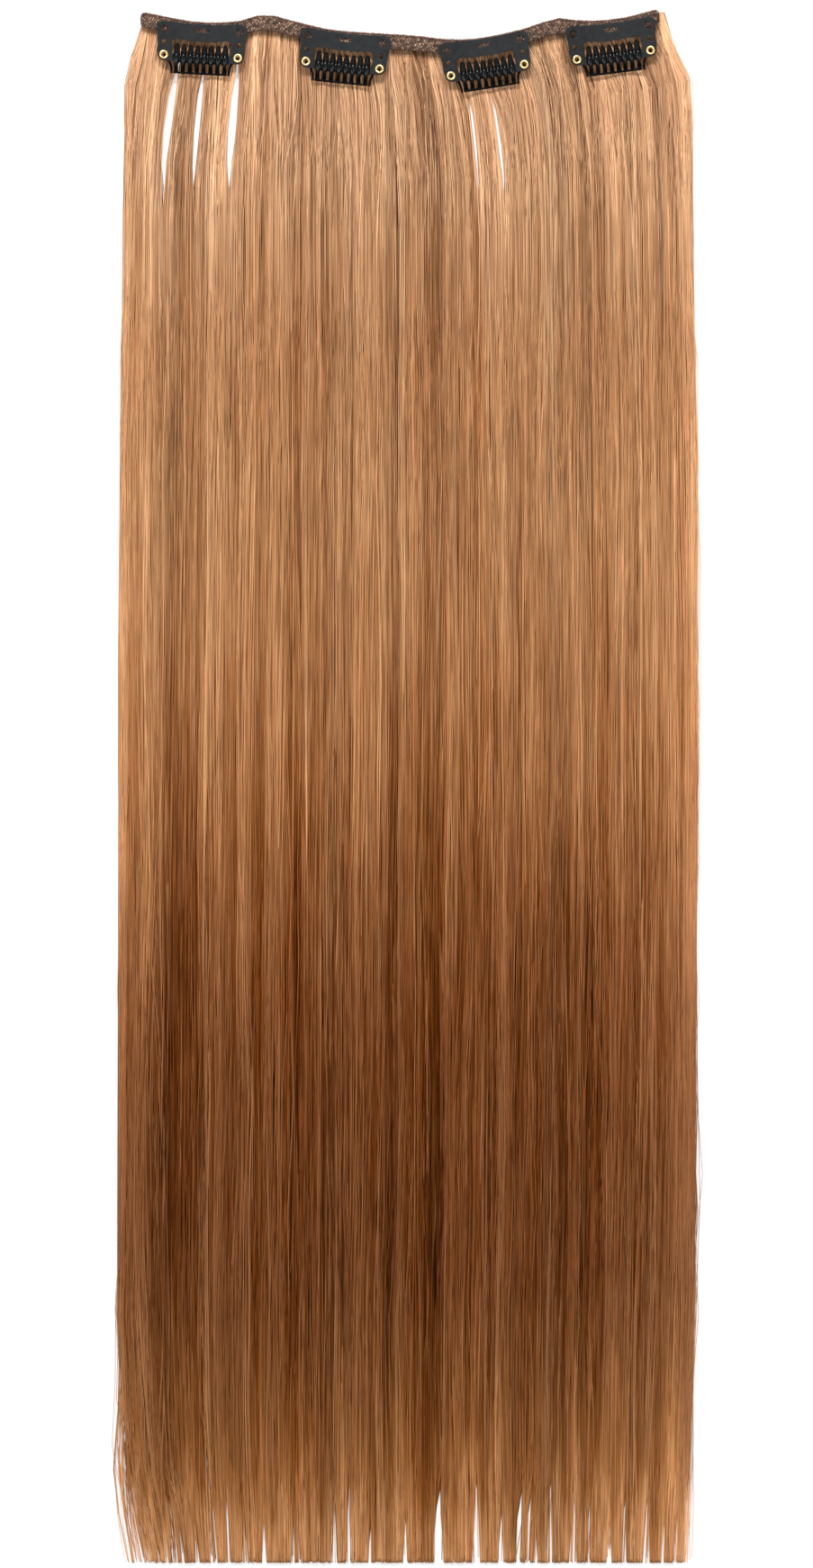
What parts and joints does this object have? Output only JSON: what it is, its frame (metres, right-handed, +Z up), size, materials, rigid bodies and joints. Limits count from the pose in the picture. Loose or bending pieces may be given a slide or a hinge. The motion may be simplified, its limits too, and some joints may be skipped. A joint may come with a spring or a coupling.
{
  "type": "clip-in hair extension weft",
  "caption": "Wide weft of long straight hair on a lace band, with snap comb clips that hinge open, lying flat with its clips up.",
  "frame": {"origin": "middle of the whole weft seen from above, at the surface it lies on", "axes": "+Z up out of the surface, on the side of the clips; +Y along the hair, from the tips to the lace band; +X to the right across the weft"},
  "size_m": [0.206, 0.553, 0.0064],
  "materials": {
    "hair": "glossy straight strands, light brown with pale streaks",
    "lace": "fine dark lace net",
    "plate": "satin black paint on pressed steel",
    "comb": "satin black paint on spring steel",
    "grip": "glossy black silicone",
    "brass": "bright rolled brass"
  },
  "bodies": {
    "weft": {"hair": "hair", "lace_band": "lace", "clip_plate_1": "plate", "clip_plate_2": "plate", "clip_plate_3": "plate", "clip_plate_4": "plate", "comb_arm_left_1": "comb", "comb_arm_right_1": "comb", "comb_arm_left_2": "comb", "comb_arm_right_2": "comb", "comb_arm_left_3": "comb", "comb_arm_right_3": "comb", "comb_arm_left_4": "comb", "comb_arm_right_4": "comb", "eyelet_left_1": "brass", "eyelet_right_1": "brass", "eyelet_left_2": "brass", "eyelet_right_2": "brass", "eyelet_left_3": "brass", "eyelet_right_3": "brass", "eyelet_left_4": "brass", "eyelet_right_4": "brass"},
    "comb_1": {"clip_comb_1": "comb", "comb_grip_1": "grip"},
    "comb_2": {"clip_comb_2": "comb", "comb_grip_2": "grip"},
    "comb_3": {"clip_comb_3": "comb", "comb_grip_3": "grip"},
    "comb_4": {"clip_comb_4": "comb", "comb_grip_4": "grip"}
  },
  "joints": [
    {"name": "comb_opens_1", "type": "hinge", "parent": "weft", "child": "comb_1", "pos_m": [-0.07407, 0.25337, 0.0031], "axis": [0.9986, -0.0533, 0], "range_deg": [0, 35]},
    {"name": "comb_opens_2", "type": "hinge", "parent": "weft", "child": "comb_2", "pos_m": [-0.02396, 0.25024, 0.0031], "axis": [0.9947, -0.103, 0], "range_deg": [0, 35]},
    {"name": "comb_opens_3", "type": "hinge", "parent": "weft", "child": "comb_3", "pos_m": [0.02911, 0.24853, 0.0031], "axis": [0.988, 0.1544, 0], "range_deg": [0, 35]},
    {"name": "comb_opens_4", "type": "hinge", "parent": "weft", "child": "comb_4", "pos_m": [0.07375, 0.25389, 0.0031], "axis": [0.9921, 0.1254, 0], "range_deg": [0, 35]}
  ]
}
